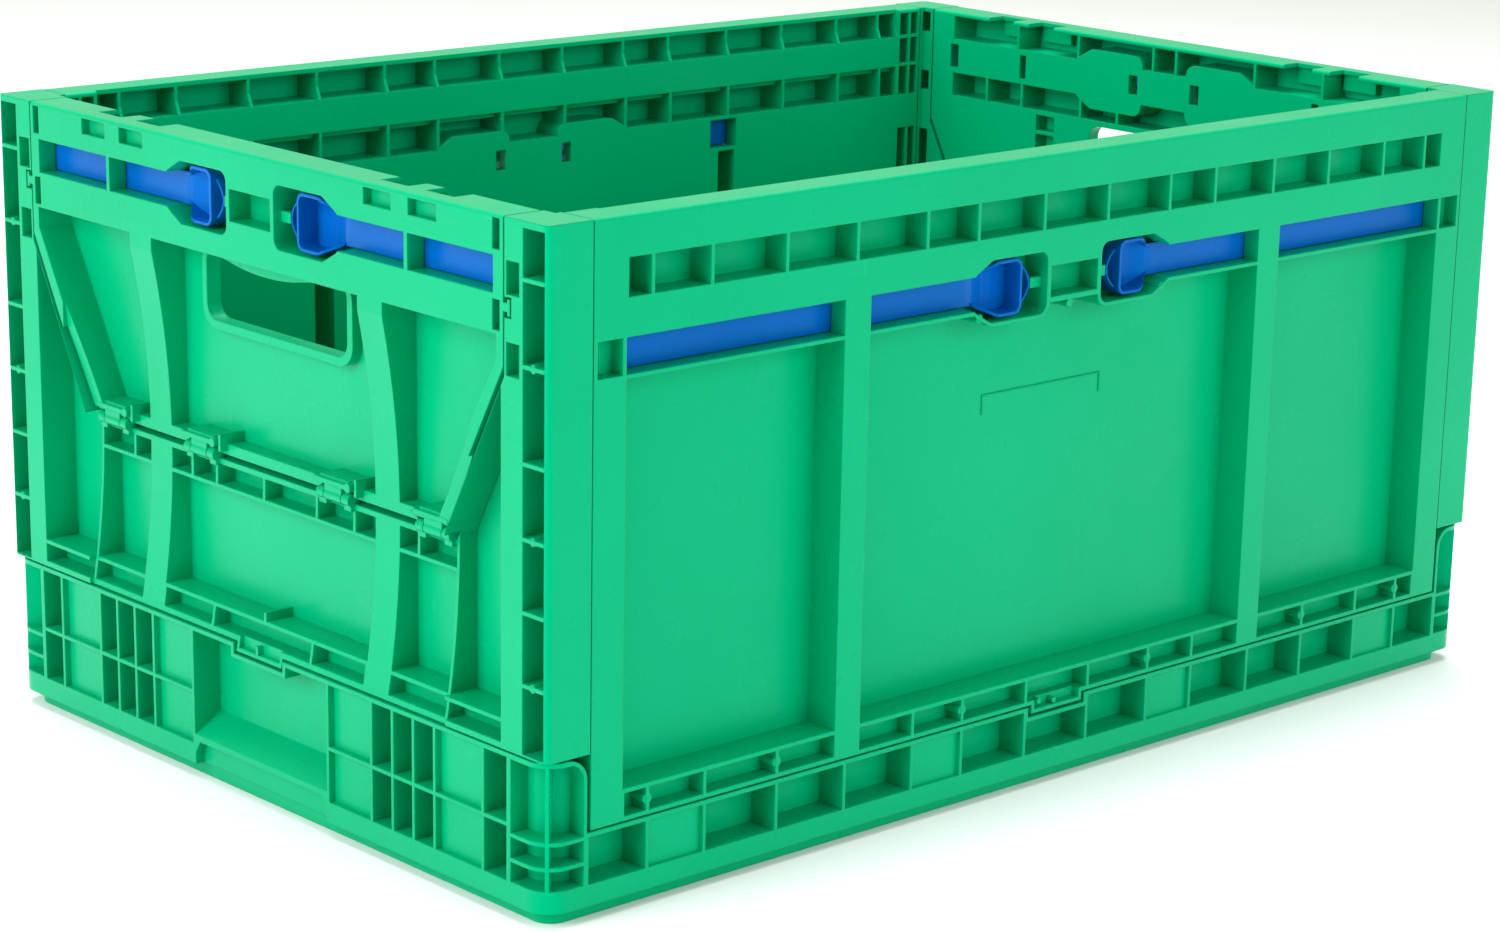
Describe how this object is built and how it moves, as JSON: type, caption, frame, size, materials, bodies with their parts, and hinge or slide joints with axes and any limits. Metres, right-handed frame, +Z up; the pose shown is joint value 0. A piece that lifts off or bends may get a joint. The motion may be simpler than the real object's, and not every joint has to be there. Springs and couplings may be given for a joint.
{
  "type": "collapsible storage crate",
  "caption": "Folding storage crate with ribbed hinged long walls, end frames with outward-opening flaps, hand holes and sliding finger latches.",
  "frame": {"origin": "centre of the underside, on the surface that the crate stands on", "axes": "+Z up, X along the 600 mm sides, Y across; the lower-hinged long wall faces -Y"},
  "size_m": [0.6, 0.4, 0.292],
  "materials": {
    "crate_green": "satin moulded polypropylene",
    "latch_blue": "satin moulded polypropylene"
  },
  "bodies": {
    "base": {"base_tray": "crate_green", "end_frame_left": "crate_green", "end_frame_right": "crate_green"},
    "long_wall_front": {"long_wall_front": "crate_green"},
    "long_wall_back": {"long_wall_back": "crate_green"},
    "end_flap_left": {"end_flap_left": "crate_green"},
    "end_flap_right": {"end_flap_right": "crate_green"},
    "latch_front_left": {"latch_front_left": "latch_blue", "spring_front_left": "latch_blue"},
    "latch_front_right": {"latch_front_right": "latch_blue", "spring_front_right": "latch_blue"},
    "latch_back_left": {"latch_back_left": "latch_blue", "spring_back_left": "latch_blue"},
    "latch_back_right": {"latch_back_right": "latch_blue", "spring_back_right": "latch_blue"},
    "latch_left_front": {"latch_left_front": "latch_blue", "spring_left_front": "latch_blue"},
    "latch_left_back": {"latch_left_back": "latch_blue", "spring_left_back": "latch_blue"},
    "latch_right_front": {"latch_right_front": "latch_blue", "spring_right_front": "latch_blue"},
    "latch_right_back": {"latch_right_back": "latch_blue", "spring_right_back": "latch_blue"}
  },
  "joints": [
    {"name": "fold_long_wall_front", "type": "hinge", "parent": "base", "child": "long_wall_front", "pos_m": [0, -0.184, 0.045], "axis": [-1, 0, 0], "range_deg": [0, 90]},
    {"name": "fold_long_wall_back", "type": "hinge", "parent": "base", "child": "long_wall_back", "pos_m": [0, 0.184, 0.0655], "axis": [1, 0, 0], "range_deg": [0, 90]},
    {"name": "swing_end_flap_left", "type": "hinge", "parent": "base", "child": "end_flap_left", "pos_m": [-0.2925, 0, 0.152], "axis": [0, -1, 0], "range_deg": [0, 115]},
    {"name": "swing_end_flap_right", "type": "hinge", "parent": "base", "child": "end_flap_right", "pos_m": [0.2925, 0, 0.152], "axis": [0, 1, 0], "range_deg": [0, 115]},
    {"name": "slide_latch_front_left", "type": "slide", "parent": "long_wall_front", "child": "latch_front_left", "axis": [1, 0, 0], "range_m": [-0.005, 0.006], "stiffness_N_per_m": 120, "springref_m": -0.005, "deforming": ["spring_front_left"]},
    {"name": "slide_latch_front_right", "type": "slide", "parent": "long_wall_front", "child": "latch_front_right", "axis": [-1, 0, 0], "range_m": [-0.005, 0.006], "stiffness_N_per_m": 120, "springref_m": -0.005, "deforming": ["spring_front_right"]},
    {"name": "slide_latch_back_left", "type": "slide", "parent": "long_wall_back", "child": "latch_back_left", "axis": [1, 0, 0], "range_m": [-0.005, 0.006], "stiffness_N_per_m": 120, "springref_m": -0.005, "deforming": ["spring_back_left"]},
    {"name": "slide_latch_back_right", "type": "slide", "parent": "long_wall_back", "child": "latch_back_right", "axis": [-1, 0, 0], "range_m": [-0.005, 0.006], "stiffness_N_per_m": 120, "springref_m": -0.005, "deforming": ["spring_back_right"]},
    {"name": "slide_latch_left_front", "type": "slide", "parent": "end_flap_left", "child": "latch_left_front", "axis": [0, 1, 0], "range_m": [-0.005, 0.006], "stiffness_N_per_m": 120, "springref_m": -0.005, "deforming": ["spring_left_front"]},
    {"name": "slide_latch_left_back", "type": "slide", "parent": "end_flap_left", "child": "latch_left_back", "axis": [0, -1, 0], "range_m": [-0.005, 0.006], "stiffness_N_per_m": 120, "springref_m": -0.005, "deforming": ["spring_left_back"]},
    {"name": "slide_latch_right_front", "type": "slide", "parent": "end_flap_right", "child": "latch_right_front", "axis": [0, 1, 0], "range_m": [-0.005, 0.006], "stiffness_N_per_m": 120, "springref_m": -0.005, "deforming": ["spring_right_front"]},
    {"name": "slide_latch_right_back", "type": "slide", "parent": "end_flap_right", "child": "latch_right_back", "axis": [0, -1, 0], "range_m": [-0.005, 0.006], "stiffness_N_per_m": 120, "springref_m": -0.005, "deforming": ["spring_right_back"]}
  ]
}
